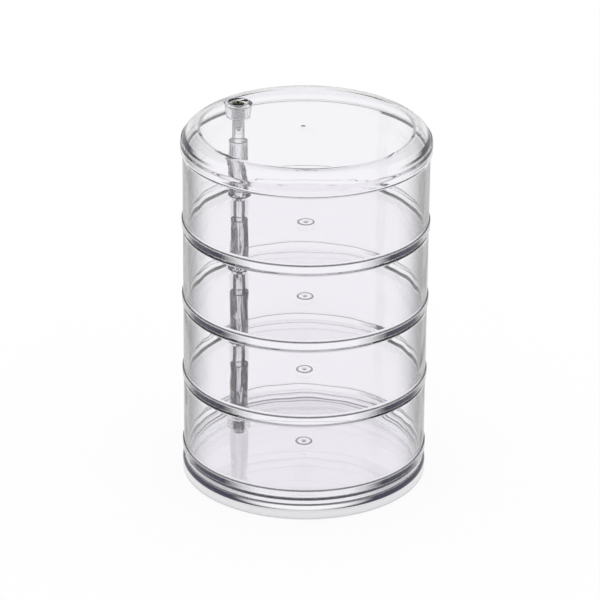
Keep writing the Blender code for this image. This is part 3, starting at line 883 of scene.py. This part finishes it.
def dress(piece, body, node, slot, *materials):
    """Gives a piece its materials, by finish, hangs it on its body and hides the part that it stands for."""
    kinds = np.zeros(len(piece.data.polygons), np.int32)
    piece.data.polygons.foreach_get("material_index", kinds)
    piece.data.materials.clear()
    for material in materials:
        piece.data.materials.append(material)
    piece.data.polygons.foreach_set("material_index", kinds)
    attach(piece, body)
    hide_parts(node)


# Studio

def make_camera():
    """Looks along +Y and down, at the tilt that the photograph's bead ellipses give."""
    data = bpy.data.cameras.new("photo_camera")
    data.sensor_width = SENSOR_WIDTH_MM
    data.lens = CAMERA_FOCAL_PX / PHOTO_WIDTH_PX * SENSOR_WIDTH_MM
    data.clip_start, data.clip_end = CAMERA_CLIP
    camera = placed("photo_camera", data)
    tilt, roll = math.radians(CAMERA_ELEVATION), math.radians(CAMERA_ROLL)
    around = Matrix.Rotation(math.radians(CAMERA_AZIMUTH), 4, "Z")
    back = Vector((0, -math.cos(tilt), math.sin(tilt)))
    aim = Vector((CAMERA_AIM_X, 0, CAMERA_AIM_HEIGHT))
    turn = (-back).to_track_quat("-Z", "Y").to_matrix().to_4x4() @ Matrix.Rotation(roll, 4, "Z")
    camera.matrix_world = around @ Matrix.Translation(aim + back * CAMERA_DISTANCE) @ turn
    bpy.context.scene.camera = camera


def make_world():
    """An even white studio."""
    world = bpy.data.worlds.new("studio")
    bpy.context.scene.world = world
    world.use_nodes = True
    tree = world.node_tree
    background = tree.nodes["Background"]
    background.inputs["Color"].default_value = WHITE
    path = tree.nodes.new("ShaderNodeLightPath")
    tree.links.new(mirror_fade(tree, path), background.inputs["Strength"])


def make_floor():
    """A white floor that keeps a faint shadow. Seen in or through plastic, it glows as the studio does."""
    side, level = FLOOR_REACH, -FLOOR_GAP
    corners = [(-side, -side, level), (side, -side, level), (side, side, level), (-side, side, level)]
    mesh = bpy.data.meshes.new("floor")
    mesh.from_pydata(corners, [], [(0, 1, 2, 3)])
    material, tree, shader = new_material("floor")
    shader.inputs["Base Color"].default_value = WHITE
    shader.inputs["Roughness"].default_value = 1.0
    shader.inputs["Specular IOR Level"].default_value = 0.0
    path = tree.nodes.new("ShaderNodeLightPath")
    glow = tree.nodes.new("ShaderNodeEmission")
    tree.links.new(mirror_fade(tree, path), glow.inputs["Strength"])
    by_plastic = greater(tree, path.outputs["Is Transmission Ray"], path.outputs["Is Glossy Ray"])
    straight = multiplied(tree, path.outputs["Is Camera Ray"], FLOOR_GLOW_SHARE)
    mix = tree.nodes.new("ShaderNodeMixShader")
    tree.links.new(greater(tree, by_plastic, straight), mix.inputs[0])
    tree.links.new(shader.outputs[0], mix.inputs[1])
    tree.links.new(glow.outputs[0], mix.inputs[2])
    tree.links.new(mix.outputs[0], tree.nodes["Material Output"].inputs["Surface"])
    mesh.materials.append(material)
    placed("floor", mesh)


def main():
    bpy.context.scene.view_settings.view_transform = "Standard"
    clear = clear_plastic("clear_wall", CLEAR, WALL_EDGE_SHADE, WALL_RIPPLE)
    plate = clear_plastic("clear_plate", PLATE, PLATE_EDGE_SHADE, bends=False)
    boss = clear_plastic("clear_boss", CLEAR, BOSS_EDGE_SHADE, BOSS_RIPPLE)
    rod = clear_plastic("clear_rod", CLEAR, ROD_EDGE_SHADE, ROD_RIPPLE)
    edge = clear_plastic("clear_edge", PLATE, EDGE_FINISH_EDGE_SHADE, bends=False)
    shoulder = clear_plastic("clear_shoulder", CLEAR, SHOULDER_EDGE_SHADE)
    base_plate = clear_plastic("clear_base_plate", BASE_PLATE, PLATE_EDGE_SHADE, bends=False)
    flange = clear_plastic("clear_flange", CLEAR, FLANGE_EDGE_SHADE)
    brass = metal("brass_plate", *BRASS)
    steel = metal("zinc_plate", *ZINC)
    bright = metal("bright_plate", *BRIGHT)
    for number, tray in enumerate(make_trays(), start=1):
        dress(tray, f"tray_{number}", f"tray_{number}", "clear_tray", clear, plate, boss, edge)
    dress(make_lid(), "lid", "lid", "clear_lid", clear, plate, shoulder)
    dress(make_base(), "stand", "base", "clear_base", clear, base_plate, flange)
    dress(make_post(), "stand", "pivot_post", "clear_post", clear, plate, rod)
    dress(make_cap(), "stand", "retaining_cap", "clear_post", clear)
    dress(make_screw("top_screw", False), "stand", "top_screw", "brass", brass, bright)
    dress(make_screw("foot_screw", True), "stand", "foot_screw", "steel", steel, bright)
    make_camera()
    make_world()
    make_floor()


main()
